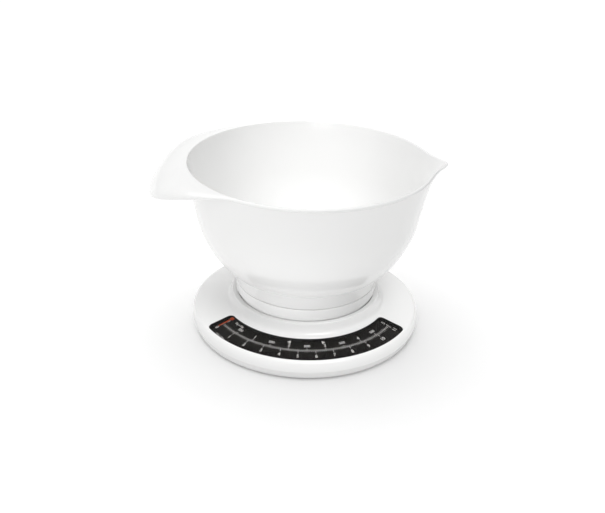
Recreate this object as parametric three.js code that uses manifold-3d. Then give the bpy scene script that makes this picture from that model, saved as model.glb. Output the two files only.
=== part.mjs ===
// Mechanical kitchen scale with a lift-off mixing bowl.
// Millimetres, +Z up. The scale's own axis is the local Z axis; the spout points along +X,
// the handle along -X and the dial along -Y. The last lines shift the whole assembly so that
// the origin lies under the middle of its bounding box.

import * as THREE from 'three';
import { mergeVertices } from 'three/addons/utils/BufferGeometryUtils.js';
import Module from 'manifold-3d';

const wasm = await Module();
wasm.setup();

// ---------------------------------------------------------------- driving dimensions

const GAP = 0.3; // clearance between pieces that touch

// base casing
const BASE_R = 100;
const DIAL_IN = 72.2; // inner radius of the dial window
const DIAL_OUT = 95.6;
const DIAL_HALF = 60.8; // half angle of the window, degrees
const DIAL_CORNER = 4.4;
const SHOULDER_R = 96.2; // where the casing's top turns down
const CONE_R = 72;
const CONE_Z = 22; // height of the casing's conical top at CONE_R
const CONE_SLOPE = 0.207;
const SHELL_T = 1.5;
const WINDOW_T = 1.2;
const POINTER_DEPTH = 1.9; // top of the pointer below the casing's top face
const POINTER_T = 0.5;
const POINTER_KNEE = 69; // the pointer is flat inside this radius and follows the cone outside it
const POINTER_TIP = 87;
const DIAL_DEPTH = 2.8;
const DIAL_T = 1.2;
const LIP_Z = 31.2; // top of the casing's neck
const PLATE_Z = 1.6; // underside of the bottom plate
const PLATE_T = 1.8;

// weighing platform
const TRAVEL = 2.5;
const PLATFORM_R = 61.3;
const PLATFORM_LOW = 34.2; // lower edge of the visible ring
const PLATFORM_TOP = 42.2;
const PLATFORM_UNDER = 43.3; // underside of the raised middle
const SPIGOT_Z = 45.5;

// bowl
const RIM_R = 102.3;
const RIM_Z = 150;
const BEAD_Z = 147.9;
const RIM_IN = 100.2;
const WALL = 2;
const WALL_TOP = new THREE.Vector2(101.2, 147.2);
const FOOT_Z = 42.5;
const FLOOR_UNDER = 57.2;
const FLOOR_Z = 59.6;
const SPOUT_REACH = 12.7;
const SPOUT_WIDTH = 8.5; // degrees
const SPOUT_LOW = 122;
const HANDLE_REACH = 131;
const BOWL_TURN = 2; // the loose bowl stands turned this many degrees on the platform

// mechanism
const POINTER_SWEEP = 116.4; // degrees from zero to full scale
const PINION_TEETH = 12;
const MODULE = 0.5;
const PITCH_R = (PINION_TEETH * MODULE) / 2;
const CARRIER_Z = 10;
const CARRIER_T = 1.5;
const CHASSIS_Z = 13;
const CHASSIS_T = 1.5;
const CHASSIS_TOP = CHASSIS_Z + CHASSIS_T;
const RACK_Z = 16.8;
const RACK_T = 1.6;
const CRANK_SHORT = 5;
const CRANK_SWING = TRAVEL / CRANK_SHORT; // radians
const RACK_TRAVEL = PITCH_R * THREE.MathUtils.degToRad(POINTER_SWEEP);
const CRANK_LONG = RACK_TRAVEL / CRANK_SWING;
const CRANK_AT = new THREE.Vector3(5.1, 26, RACK_Z + RACK_T / 2 + CRANK_LONG);
const SCREW_R = 1.25;
const SCREW_HOLE = 1.6;
const ZERO_PIVOT = new THREE.Vector3(0, 52, 17.2);
const ZERO_WHEEL = new THREE.Vector3(0, 90, 4.6);
const ZERO_WHEEL_R = 11.5;
const ZERO_WHEEL_T = 5;
const BAR_Z = 32; // underside of the bar that the springs hang from
const BAR_T = 1.5;

const POSTS = [[-40, -14], [40, -14], [-40, 30], [40, 30]];
const SPRINGS = [[-20, 34], [20, 34]];
const FEET = [[-60, -60], [60, -60], [-60, 60], [60, 60]];
const CASING_SCREWS = [[-81, 6], [81, 6], [-44, 69], [44, 69]];
const CHASSIS_SCREWS = [[-64.5, -14], [64.5, -14], [-43, 50], [43, 50]];
const SIDES = ['front_left', 'front_right', 'rear_left', 'rear_right'];

// ---------------------------------------------------------------- finishes

function finish(color, roughness, metalness) {
  return { color, roughness, metalness };
}

const WHITE = finish(0xf2f2f0, 0.22, 0);
const DIAL_BLACK = finish(0x201e1c, 0.5, 0);
const CLEAR = finish(0xdfe3e4, 0.05, 0);
const ORANGE = finish(0xe2512b, 0.4, 0);
const RUBBER = finish(0x8d8d8b, 0.9, 0);
const STEEL = finish(0xb4b6b8, 0.35, 1);
const SPRING_STEEL = finish(0x8f9296, 0.3, 1);
const BRASS = finish(0xb99a4b, 0.3, 1);
const NYLON = finish(0xe4e0d3, 0.5, 0);

// ---------------------------------------------------------------- solids

// One closed body with shared vertices, no collapsed triangles and its faces pointing out.
function closed(geometry) {
  const bare = geometry.clone();
  bare.deleteAttribute('normal');
  bare.deleteAttribute('uv');
  const merged = mergeVertices(bare, 1e-4);
  const index = merged.index.array;
  const kept = [];
  for (let i = 0; i < index.length; i += 3) {
    const [a, b, c] = index.slice(i, i + 3);
    if (a !== b && b !== c && c !== a) kept.push(a, b, c);
  }
  if (signedVolume(merged.attributes.position, kept) < 0) kept.reverse();
  merged.setIndex(kept);
  return merged;
}

function signedVolume(position, index) {
  const p = new THREE.Vector3();
  const q = new THREE.Vector3();
  const r = new THREE.Vector3();
  let sum = 0;
  for (let i = 0; i < index.length; i += 3) {
    p.fromBufferAttribute(position, index[i]);
    q.fromBufferAttribute(position, index[i + 1]);
    r.fromBufferAttribute(position, index[i + 2]);
    sum += p.dot(q.cross(r));
  }
  return sum / 6;
}

function toSolid(geometry) {
  const mesh = closed(geometry);
  return new wasm.Manifold(new wasm.Mesh({
    numProp: 3,
    vertProperties: Float32Array.from(mesh.attributes.position.array),
    triVerts: Uint32Array.from(mesh.index.array),
  }));
}

function fromSolid(solid) {
  const mesh = solid.getMesh();
  const geometry = new THREE.BufferGeometry();
  geometry.setAttribute('position', new THREE.BufferAttribute(mesh.vertProperties, 3));
  geometry.setIndex(Array.from(mesh.triVerts));
  return geometry;
}

function join(first, ...others) {
  return fromSolid(others.reduce((sum, item) => sum.add(toSolid(item)), toSolid(first)));
}

function cut(body, ...tools) {
  return fromSolid(tools.reduce((left, item) => left.subtract(toSolid(item)), toSolid(body)));
}

function common(a, b) {
  return fromSolid(toSolid(a).intersect(toSolid(b)));
}

// Turns an outline of [radius, height] pairs about Z.
function lathe(profile, segments) {
  const points = profile.map(([r, z]) => new THREE.Vector2(r, z));
  return new THREE.LatheGeometry(points, segments).rotateX(Math.PI / 2);
}

function disc(radius, z0, z1, segments) {
  return lathe([[0, z0], [radius, z0], [radius, z1], [0, z1]], segments);
}

function discAt([x, y], radius, z0, z1, segments = 12) {
  return disc(radius, z0, z1, segments).translate(x, y, 0);
}

function box(x0, x1, y0, y1, z0, z1) {
  const geometry = new THREE.BoxGeometry(x1 - x0, y1 - y0, z1 - z0);
  return geometry.translate((x0 + x1) / 2, (y0 + y1) / 2, (z0 + z1) / 2);
}

// A round bar along X, centred on the origin.
function rod(radius, length, segments = 16) {
  return new THREE.CylinderGeometry(radius, radius, length, segments).rotateZ(Math.PI / 2);
}

// Extrudes an outline of [x, y] pairs from z0 to z1.
function prism(outline, z0, z1) {
  const shape = new THREE.Shape(outline.map(([x, y]) => new THREE.Vector2(x, y)));
  const options = { depth: z1 - z0, bevelEnabled: false };
  return new THREE.ExtrudeGeometry(shape, options).translate(0, 0, z0);
}

// Extrudes an outline of [y, z] pairs along X, from x0 to x1.
function sidePlate(outline, x0, x1) {
  const axes = [new THREE.Vector3(0, 1, 0), new THREE.Vector3(0, 0, 1), new THREE.Vector3(1, 0, 0)];
  return prism(outline, x0, x1).applyMatrix4(new THREE.Matrix4().makeBasis(...axes));
}

function arc(cx, cy, radius, from, to, steps) {
  const points = [];
  for (let i = 0; i <= steps; i += 1) {
    const angle = from + ((to - from) * i) / steps;
    points.push([cx + radius * Math.cos(angle), cy + radius * Math.sin(angle)]);
  }
  return points;
}

// A rectangle with rounded corners, centred on (cx, cy).
function roundedRectangle(cx, cy, width, depth, radius) {
  const corners = [[1, 1], [-1, 1], [-1, -1], [1, -1]];
  return corners.flatMap(([sx, sy], i) => arc(
    cx + sx * (width / 2 - radius),
    cy + sy * (depth / 2 - radius),
    radius,
    (i * Math.PI) / 2,
    ((i + 1) * Math.PI) / 2,
    4,
  ));
}

// A cubic Bezier through [r, z] control points, sampled at the given parameters.
function bezier(p0, p1, p2, p3, parameters) {
  const curve = new THREE.CubicBezierCurve(
    new THREE.Vector2(...p0),
    new THREE.Vector2(...p1),
    new THREE.Vector2(...p2),
    new THREE.Vector2(...p3),
  );
  return parameters.map((t) => curve.getPoint(t).toArray());
}

const scale = new THREE.Group();

// Adds a named part with a finish of its own and returns its mesh, which can then be placed.
function part(name, geometry, look) {
  const material = new THREE.MeshStandardMaterial(look);
  const mesh = new THREE.Mesh(closed(geometry), material);
  mesh.name = name;
  scale.add(mesh);
  return mesh;
}

// ---------------------------------------------------------------- bowl

const BODY_CURVE = [[68, 58], [78.5, 66.5], [90, 86], [93.3, 104]];
const BODY_STEPS = [0, 0.12, 0.28, 0.45, 0.62, 0.8, 1];

// Handle edge: degrees from -X, radius and height of the edge, from the middle out to the rim.
const HANDLE_EDGE = [
  [0, HANDLE_REACH, 122.5],
  [14, 130.6, 128],
  [24, 130.4, 134],
  [30, 127, 137.5],
  [38, 119.5, 142],
  [47, 110, 146],
  [54, 104.2, BEAD_Z],
  [61, RIM_R, BEAD_Z],
];

// Slope-limited cubic through the handle's stations, for its radius (1) or its height (2).
function alongHandle(angle, column) {
  const last = HANDLE_EDGE.length - 1;
  const slope = (i) => {
    const before = HANDLE_EDGE[Math.max(i - 1, 0)];
    const after = HANDLE_EDGE[Math.min(i + 1, last)];
    if (i === 0 || i === last) return 0;
    return (after[column] - before[column]) / (after[0] - before[0]);
  };
  const i = Math.min(HANDLE_EDGE.findLastIndex((station) => station[0] <= angle), last - 1);
  const [a, b] = [HANDLE_EDGE[i], HANDLE_EDGE[i + 1]];
  const span = b[0] - a[0];
  const t = (angle - a[0]) / span;
  const rise = (t * t) * (3 - 2 * t);
  const leave = t * (1 - t) * (1 - t) * span * slope(i);
  const arrive = t * t * (t - 1) * span * slope(i + 1);
  return a[column] + (b[column] - a[column]) * rise + leave + arrive;
}

// Outer edge of the rim bead, or of the handle, at an azimuth in degrees from +X.
function rimEdge(azimuth) {
  const fromHandle = 180 - Math.abs(azimuth);
  if (fromHandle >= HANDLE_EDGE.at(-1)[0]) return [RIM_R, BEAD_Z];
  return [alongHandle(fromHandle, 1), alongHandle(fromHandle, 2)];
}

function spoutBulge(azimuth, z) {
  if (z <= SPOUT_LOW) return 0;
  const across = (1 + (azimuth / SPOUT_WIDTH) ** 2) ** -1.5;
  const down = ((z - SPOUT_LOW) / (RIM_Z - SPOUT_LOW)) ** 2.2;
  return SPOUT_REACH * across * down;
}

function bowlWall(offset) {
  const [, , , top] = BODY_CURVE;
  return [118, 130, 139].map((z) => {
    const t = (z - top[1]) / (WALL_TOP.y - top[1]);
    return [top[0] + (WALL_TOP.x - top[0]) * t - offset, z];
  });
}

// Half section of the bowl at one azimuth (-180 to 180), from the axis below to the axis inside.
function bowlSection(azimuth) {
  const [edgeR, edgeZ] = rimEdge(azimuth);
  const edgeT = Math.min(WALL, 0.3 * (edgeR - 100.8));
  const reach = edgeR - RIM_IN;
  const droop = RIM_Z - edgeZ;
  const foot = [
    [0, FLOOR_UNDER],
    [56.8, FLOOR_UNDER],
    [57.4, FOOT_Z + 0.6],
    [58, FOOT_Z],
    [60.7, FOOT_Z],
    [61.3, FOOT_Z + 0.7],
    [62.6, FLOOR_UNDER - 0.6],
    [66, FLOOR_UNDER],
  ];
  const body = bezier(...BODY_CURVE, BODY_STEPS);
  const under = bezier(
    [101.3, 147.4],
    [101.3 + 0.55 * (edgeR - edgeT - 101.3), 147.4 - 0.03 * droop],
    [edgeR - edgeT - 0.03 * reach, edgeZ + 0.45 * Math.max(droop - 2.6, 0)],
    [edgeR - edgeT, edgeZ - 0.1],
    [0, 0.3, 0.55, 0.78, 1],
  );
  const top = bezier(
    [RIM_IN, RIM_Z - 0.05],
    [RIM_IN + 0.6 * reach, RIM_Z - 0.03 * droop],
    [edgeR - 0.03 * reach, edgeZ + 0.55 * droop],
    [edgeR, edgeZ],
    [1, 0.82, 0.64, 0.46, 0.25, 0],
  );
  const innerWall = bowlWall(WALL).reverse();
  const innerBody = BODY_STEPS.map((t) => innerBodyPoint(t)).reverse();
  const section = [
    ...foot,
    ...body,
    ...bowlWall(0),
    WALL_TOP.toArray(),
    ...under,
    ...top,
    [WALL_TOP.x - WALL + 0.3, RIM_Z - 0.8],
    ...innerWall,
    ...innerBody,
    [60, FLOOR_Z],
    [0, FLOOR_Z],
  ];
  return section.map(([r, z]) => [r + spoutBulge(azimuth, z), z]);
}

// The inside of the lower body, one wall thickness in from the outside.
function innerBodyPoint(t) {
  const curve = new THREE.CubicBezierCurve(...BODY_CURVE.map((p) => new THREE.Vector2(...p)));
  const at = curve.getPoint(t);
  const along = curve.getTangent(t);
  return [at.x - along.y * WALL, at.y + along.x * WALL];
}

// Azimuths of the bowl's sections, closer together round the spout and the handle's corners.
// Once the bowl is turned, a section stands at its widest point on each side.
function bowlAzimuths() {
  const widest = [90 - BOWL_TURN, 90 + BOWL_TURN];
  const ranges = [
    [0, 12, 5],
    [12, 24, 2],
    [24, widest[0], 8],
    [...widest, 1],
    [widest[1], 120, 4],
    [120, 146, 5],
    [146, 160, 4],
    [160, 180, 3],
  ];
  const half = ranges.flatMap(([from, to, steps]) => Array.from(
    { length: steps },
    (_, i) => from + ((to - from) * i) / steps,
  ));
  const mirrored = half.slice(1).map((angle) => -angle).reverse();
  return [...half, 180, ...mirrored];
}

function bowlGeometry() {
  const azimuths = bowlAzimuths();
  const sections = azimuths.map((azimuth) => bowlSection(azimuth));
  const count = sections[0].length;
  const positions = [];
  azimuths.forEach((azimuth, i) => {
    const angle = THREE.MathUtils.degToRad(azimuth);
    sections[i].forEach(([r, z]) => positions.push(r * Math.cos(angle), r * Math.sin(angle), z));
  });
  const index = [];
  for (let i = 0; i < azimuths.length; i += 1) {
    const here = i * count;
    const next = ((i + 1) % azimuths.length) * count;
    for (let k = 0; k < count - 1; k += 1) {
      index.push(here + k, next + k, next + k + 1);
      index.push(here + k, next + k + 1, here + k + 1);
    }
  }
  const geometry = new THREE.BufferGeometry();
  geometry.setAttribute('position', new THREE.Float32BufferAttribute(positions, 3));
  geometry.setIndex(index);
  return geometry;
}

part('bowl', bowlGeometry(), WHITE).rotation.z = THREE.MathUtils.degToRad(-BOWL_TURN);

// ---------------------------------------------------------------- platform

function platformGeometry() {
  const body = lathe([
    [0, PLATFORM_UNDER],
    [53, PLATFORM_UNDER],
    [54, 40],
    [56.6, 40],
    [56.6, 27],
    [58.6, 27],
    [58.6, PLATFORM_LOW],
    [PLATFORM_R - 0.5, PLATFORM_LOW],
    [PLATFORM_R, PLATFORM_LOW + 0.5],
    [PLATFORM_R, PLATFORM_TOP - 0.8],
    [PLATFORM_R - 0.8, PLATFORM_TOP],
    [56, PLATFORM_TOP],
    [55.2, SPIGOT_Z - 0.6],
    [54.6, SPIGOT_Z],
    [0, SPIGOT_Z],
  ], 40);
  const holes = POSTS.flatMap((at) => [
    discAt(at, SCREW_HOLE, 40, 50, 12),
    discAt(at, 3.2, SPIGOT_Z - 1.3, 50, 12),
  ]);
  return cut(body, ...holes);
}

function screwGeometry(head, headT, length) {
  return lathe([
    [0, -length],
    [SCREW_R - 0.4, -length],
    [SCREW_R, -length + 0.8],
    [SCREW_R, 0],
    [head, 0],
    [head, headT * 0.5],
    [head * 0.7, headT],
    [0, headT],
  ], 10);
}

function postGeometry() {
  const low = CARRIER_Z + CARRIER_T + GAP;
  const high = PLATFORM_UNDER - GAP;
  const depth = 9;
  return lathe([
    [0, low + depth],
    [SCREW_HOLE, low + depth],
    [SCREW_HOLE, low],
    [2.4, low],
    [2.4, high],
    [SCREW_HOLE, high],
    [SCREW_HOLE, high - depth],
    [0, high - depth],
  ], 10);
}

function carrierGeometry() {
  const high = CARRIER_Z + CARRIER_T;
  const plate = prism(roundedRectangle(0, 11, 96, 62, 6), CARRIER_Z, high);
  const window = prism(roundedRectangle(0, 6, 60, 34, 4), CARRIER_Z - 1, high + 1);
  const holes = POSTS.map((at) => discAt(at, SCREW_HOLE, CARRIER_Z - 1, high + 1, 10));
  const eyes = SPRINGS.map((at) => discAt(at, 1.2, CARRIER_Z - 1, high + 1, 10));
  return cut(plate, window, ...holes, ...eyes);
}

// Rod under the platform that presses on the crank's short arm.
function pushPinGeometry() {
  const tip = CRANK_AT.z + CRANK_SHORT * Math.sin(CRANK_SWING / 2) + 1 + GAP;
  return lathe([
    [0, tip],
    [0.7, tip],
    [1.5, tip + 1],
    [1.5, PLATFORM_UNDER - 1.8],
    [3.5, PLATFORM_UNDER - 1.2],
    [3.5, PLATFORM_UNDER - GAP],
    [0, PLATFORM_UNDER - GAP],
  ], 14);
}

// Tension spring with a straight stub at each end, hooked over the bar and under the carrier.
function springGeometry() {
  const wire = 0.6;
  const coil = 4;
  const turns = 7;
  const perTurn = 8;
  const low = 13.6;
  const high = 29.6;
  const hookLow = CARRIER_Z - GAP - wire;
  const hookHigh = BAR_Z + BAR_T + GAP + wire;
  const path = [[3.2, 0, hookLow], [1, 0, hookLow], [0, 0, hookLow + 1], [0, 0, low - 1]];
  for (let i = 0; i <= turns * perTurn; i += 1) {
    const angle = (i / perTurn) * Math.PI * 2;
    const z = low + ((high - low) * i) / (turns * perTurn);
    path.push([coil * Math.cos(angle), coil * Math.sin(angle), z]);
  }
  path.push([0, 0, high + 1], [0, 0, hookHigh - 1], [1, 0, hookHigh], [3.2, 0, hookHigh]);
  const curve = new THREE.CatmullRomCurve3(path.map((p) => new THREE.Vector3(...p)), false, 'centripetal');
  const outline = arc(0, 0, wire, 0, (Math.PI * 8) / 5, 4);
  const section = new THREE.Shape(outline.map((p) => new THREE.Vector2(...p)));
  return new THREE.ExtrudeGeometry(section, { steps: path.length + 4, extrudePath: curve });
}

part('platform', platformGeometry(), WHITE);
part('platform_carrier', carrierGeometry(), STEEL);
part('push_pin', pushPinGeometry(), STEEL).position.set(CRANK_AT.x, CRANK_AT.y - CRANK_SHORT * 0.97, 0);
POSTS.forEach(([x, y], i) => {
  part(`platform_post_${SIDES[i]}`, postGeometry(), STEEL).position.set(x, y, 0);
  part(`platform_screw_${SIDES[i]}`, screwGeometry(2.8, 0.9, 8), STEEL).position.set(x, y, SPIGOT_Z - 1);
  const lower = part(`carrier_screw_${SIDES[i]}`, screwGeometry(2.6, 1.1, 8), STEEL);
  lower.rotation.x = Math.PI;
  lower.position.set(x, y, CARRIER_Z - GAP);
});
SPRINGS.forEach(([x, y], i) => {
  part(`weighing_spring_${i ? 'right' : 'left'}`, springGeometry(), SPRING_STEEL).position.set(x, y, 0);
});

// ---------------------------------------------------------------- base casing

function coneZ(r) {
  return CONE_Z - CONE_SLOPE * (r - CONE_R);
}

// Outline of the dial area seen from above: a ring sector with rounded corners.
function dialOutline(inner, outer, half, corner) {
  const middle = -Math.PI / 2;
  const reach = THREE.MathUtils.degToRad(half);
  const outBend = Math.asin(corner / (outer - corner));
  const inBend = Math.asin(corner / (inner + corner));
  const points = arc(0, 0, outer, middle - reach + outBend, middle + reach - outBend, 20);
  const corners = [[outer - corner, outBend], [inner + corner, inBend]];
  const rounded = (side, [r, bend], from, to) => {
    const angle = middle + side * (reach - bend);
    return arc(r * Math.cos(angle), r * Math.sin(angle), corner, middle + from, middle + to, 4);
  };
  const quarter = Math.PI / 2;
  points.push(...rounded(1, corners[0], reach - outBend, reach + quarter));
  points.push(...rounded(1, corners[1], reach + quarter, reach - inBend + 2 * quarter));
  points.push(...arc(0, 0, inner, middle + reach - inBend, middle - reach + inBend, 20));
  points.push(...rounded(-1, corners[1], 2 * quarter - reach + inBend, 3 * quarter - reach));
  points.push(...rounded(-1, corners[0], 3 * quarter - reach, 4 * quarter - reach + outBend));
  return points.filter(([x, y], i) => {
    const [px, py] = points.at(i - 1);
    return Math.hypot(x - px, y - py) > 0.05;
  });
}

// A plate parallel to the casing's cone, its top a set depth below the casing's top face.
function coneSector(inner, outer, half, corner, depth, thickness) {
  const outline = prism(dialOutline(inner, outer, half, corner), 5, 40);
  const [r0, r1] = [inner - 5, outer + 5];
  const plate = lathe([
    [r0, coneZ(r0) - depth - thickness],
    [r1, coneZ(r1) - depth - thickness],
    [r1, coneZ(r1) - depth],
    [r0, coneZ(r0) - depth],
    [r0, coneZ(r0) - depth - thickness],
  ], 72);
  return common(outline, plate);
}

function baseShellGeometry() {
  const shoulder = bezier(
    [BASE_R, 7],
    [BASE_R, 12.3],
    [98.9, 16.2],
    [SHOULDER_R, coneZ(SHOULDER_R)],
    [0, 0.3, 0.65, 1],
  );
  const flare = bezier([70, coneZ(70)], [67.5, coneZ(67.5)], [66.4, 25.6], [65, 29.6], [0, 0.35, 0.7, 1]);
  const inner = bezier([63, 27.5], [63.6, 25], [65.5, 21.9], [69, coneZ(69) - SHELL_T], [0, 0.5, 1]);
  const innerShoulder = bezier(
    [95.4, coneZ(95.4) - SHELL_T],
    [97.7, coneZ(97.7) - SHELL_T],
    [BASE_R - 2, 12],
    [BASE_R - 2, 7.5],
    [0, 0.5, 1],
  );
  const body = lathe([
    [98.7, 1.3],
    [99.6, 2.4],
    [BASE_R, 4.2],
    ...shoulder,
    ...flare,
    [64.6, 30.6],
    [64, LIP_Z],
    [61, LIP_Z],
    [60.2, 30.4],
    [60.2, 28.9],
    ...inner,
    ...innerShoulder,
    [BASE_R - 2, 4.4],
    [97, 1.3],
    [98.7, 1.3],
  ], 56);
  const casingBosses = CASING_SCREWS.map((at) => discAt(at, 3.6, 5.7, 19, 12));
  const chassisBosses = CHASSIS_SCREWS.map((at) => discAt(at, 3.4, CHASSIS_TOP + GAP, 22, 12));
  const casingHoles = CASING_SCREWS.map((at) => discAt(at, SCREW_HOLE, 4, 14, 10));
  const chassisHoles = CHASSIS_SCREWS.map((at) => discAt(at, SCREW_HOLE, 10, 19.5, 10));
  const window = prism(dialOutline(DIAL_IN, DIAL_OUT, DIAL_HALF, DIAL_CORNER), 10, 40);
  const slot = box(-9.4, 9.4, BASE_R - 8, BASE_R + 2, ZERO_WHEEL.z - 0.8, ZERO_WHEEL.z + ZERO_WHEEL_T + 0.8);
  const bossed = join(body, ...casingBosses, ...chassisBosses);
  return cut(bossed, window, slot, ...casingHoles, ...chassisHoles);
}

function bottomPlateGeometry() {
  const top = PLATE_Z + PLATE_T;
  const pillarTop = 15.4;
  const pillars = [-51, 0, 51].map((angle) => {
    const turn = THREE.MathUtils.degToRad(angle);
    return discAt([80 * Math.sin(turn), -80 * Math.cos(turn)], 3, PLATE_Z + 0.5, pillarTop, 14);
  });
  const plate = join(
    disc(96.2, PLATE_Z, top, 40),
    ...CASING_SCREWS.map((at) => discAt(at, 5.5, PLATE_Z + 0.5, 5.4, 16)),
    ...pillars,
    discAt([ZERO_WHEEL.x, ZERO_WHEEL.y], 1.5, PLATE_Z + 0.5, 7.6, 12),
  );
  return cut(
    plate,
    ...CASING_SCREWS.map((at) => discAt(at, SCREW_HOLE, 0, 8, 10)),
    ...CASING_SCREWS.map((at) => discAt(at, 3.1, 0, 3.6, 12)),
    ...FEET.map((at) => discAt(at, 2.3, 0, 8, 12)),
  );
}

function footGeometry() {
  const top = PLATE_Z + PLATE_T + GAP;
  return lathe([
    [0, 0],
    [6.4, 0],
    [7, 0.4],
    [7, PLATE_Z - GAP],
    [2, PLATE_Z - GAP],
    [2, top],
    [3, top],
    [2, top + 2.2],
    [0, top + 2.2],
  ], 14);
}

part('base_shell', baseShellGeometry(), WHITE);
part('bottom_plate', bottomPlateGeometry(), WHITE);
part('dial_plate', coneSector(69.6, 96.4, DIAL_HALF + 3, 3, DIAL_DEPTH, DIAL_T), DIAL_BLACK);
part(
  'dial_window',
  coneSector(DIAL_IN + GAP, DIAL_OUT - GAP, DIAL_HALF - 0.25, DIAL_CORNER - 0.2, 0.05, WINDOW_T),
  CLEAR,
);
FEET.forEach(([x, y], i) => {
  part(`foot_${SIDES[i]}`, footGeometry(), RUBBER).position.set(x, y, 0);
});
CASING_SCREWS.forEach(([x, y], i) => {
  const screw = part(`casing_screw_${SIDES[i]}`, screwGeometry(2.6, 1.1, 9), STEEL);
  screw.rotation.x = Math.PI;
  screw.position.set(x, y, 3.3);
});

// ---------------------------------------------------------------- chassis

function chassisGeometry() {
  const ears = CHASSIS_SCREWS.flatMap(([x, y]) => {
    const turn = Math.atan2(y, x);
    const reach = Math.hypot(x, y);
    const arm = box(40, reach, -5, 5, CHASSIS_Z, CHASSIS_TOP).rotateZ(turn);
    return [arm, discAt([x, y], 5, CHASSIS_Z, CHASSIS_TOP, 12)];
  });
  const lugs = [-1, 1].map((side) => {
    const x = side * 8.8;
    return box(x - 0.6, x + 0.6, ZERO_PIVOT.y - 3, ZERO_PIVOT.y + 3, CHASSIS_Z + 0.5, ZERO_PIVOT.z + 2.4);
  });
  const plate = join(disc(55.5, CHASSIS_Z, CHASSIS_TOP, 40), ...ears, ...lugs);
  return cut(
    plate,
    disc(3, CHASSIS_Z - 1, CHASSIS_TOP + 1, 16),
    ...POSTS.map((at) => discAt(at, 4.3, CHASSIS_Z - 1, CHASSIS_TOP + 1, 12)),
    ...SPRINGS.map((at) => discAt(at, 6, CHASSIS_Z - 1, CHASSIS_TOP + 1, 12)),
    ...CHASSIS_SCREWS.map((at) => discAt(at, SCREW_HOLE, CHASSIS_Z - 1, CHASSIS_TOP + 1, 10)),
    rod(1.5, 24, 14).translate(0, ZERO_PIVOT.y, ZERO_PIVOT.z),
  );
}

// Flanged bush dropped into a hole of the chassis.
function bushGeometry(bore, body, flange, below) {
  return lathe([
    [bore, CHASSIS_Z - below],
    [body, CHASSIS_Z - below],
    [body, CHASSIS_TOP + GAP],
    [flange, CHASSIS_TOP + GAP],
    [flange, CHASSIS_TOP + GAP + 1],
    [bore, CHASSIS_TOP + GAP + 1],
    [bore, CHASSIS_Z - below],
  ], 12);
}

part('chassis', chassisGeometry(), STEEL);
part('spindle_bush', bushGeometry(1.8, 2.7, 4.4, 0.6), NYLON);
POSTS.forEach(([x, y], i) => {
  part(`guide_bush_${SIDES[i]}`, bushGeometry(2.7, 4, 5.6, 0.8), NYLON).position.set(x, y, 0);
});
CHASSIS_SCREWS.forEach(([x, y], i) => {
  const screw = part(`chassis_screw_${SIDES[i]}`, screwGeometry(2.6, 1.1, 6), STEEL);
  screw.rotation.x = Math.PI;
  screw.position.set(x, y, CHASSIS_Z - GAP);
});

// ---------------------------------------------------------------- pointer drive

function toothedWheel(z0, z1) {
  const outline = [];
  const flank = [[2.3, -0.46], [3.4, -0.13], [3.4, 0.13], [2.3, 0.46]];
  for (let tooth = 0; tooth < PINION_TEETH; tooth += 1) {
    const middle = ((tooth + 0.5) / PINION_TEETH) * Math.PI * 2;
    flank.forEach(([r, side]) => {
      const angle = middle + Math.asin(side / r);
      outline.push([r * Math.cos(angle), r * Math.sin(angle)]);
    });
  }
  return prism(outline, z0, z1);
}

function pinionSpindleGeometry() {
  const shaft = lathe([[0, 12.6], [1.1, 12.6], [1.5, 13], [1.5, 21.2], [1.1, 21.6], [0, 21.6]], 14);
  const shoulder = disc(2.6, 18.3, 19.2, 14);
  return join(shaft, toothedWheel(16.4, 18.6), shoulder);
}

// Pointer along -Y: flat from the hub to the dial, then parallel to the cone, with a short tail.
function pointerGeometry() {
  const flatTop = armTop(0);
  const arm = (halfWidth, from, to) => sidePlate([
    [-from, flatTop],
    [-from, flatTop - POINTER_T],
    [-POINTER_KNEE, flatTop - POINTER_T],
    [-to, armTop(to) - POINTER_T],
    [-to, armTop(to)],
    [-POINTER_KNEE, flatTop],
  ], -halfWidth, halfWidth);
  const tail = box(-3, 3, 3, 20, flatTop - POINTER_T, flatTop);
  const hub = disc(5, flatTop - POINTER_T, flatTop + 0.9, 20);
  const needle = arm(0.9, 2, POINTER_TIP);
  const block = arm(2.1, POINTER_KNEE - 2, DIAL_IN + 4.5);
  return cut(join(hub, tail, needle, block), disc(1.8, 15, 25, 12));
}

function armTop(r) {
  return coneZ(Math.max(r, POINTER_KNEE)) - POINTER_DEPTH;
}

// Rack along Y beside the pinion, with a slotted end for the crank.
function rackGeometry() {
  const pitch = Math.PI * MODULE;
  const outline = [[6.6, 20], [6.6, -10], [3.7, -10]];
  for (let tooth = -6; tooth <= 1; tooth += 1) {
    const y = tooth * pitch;
    outline.push([3.7, y - 0.38], [PITCH_R - 0.4, y - 0.14], [PITCH_R - 0.4, y + 0.14], [3.7, y + 0.38]);
  }
  outline.push([3.7, 20]);
  const bar = prism(outline.reverse(), RACK_Z, RACK_Z + RACK_T);
  const slotY = CRANK_AT.y - CRANK_LONG * Math.sin(CRANK_SWING / 2);
  const end = prism(roundedRectangle(CRANK_AT.x, slotY, 5.4, 8, 1), RACK_Z, RACK_Z + RACK_T);
  const half = 1.2 + 0.4;
  const slot = box(CRANK_AT.x - 1.4, CRANK_AT.x + 1.4, slotY - half, slotY + half, 10, 30);
  return cut(join(bar, end), slot);
}

function rackGuideGeometry() {
  const floor = CHASSIS_TOP + GAP;
  const block = box(1.9, 8.3, 9, 15, floor, RACK_Z + RACK_T + GAP + 0.5);
  const channel = box(3.7 - GAP, 6.6 + GAP, 7, 16, RACK_Z - GAP, RACK_Z + RACK_T + GAP);
  const opening = box(4.4, 5.8, 7, 16, RACK_Z, 30);
  return cut(block, channel, opening);
}

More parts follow.
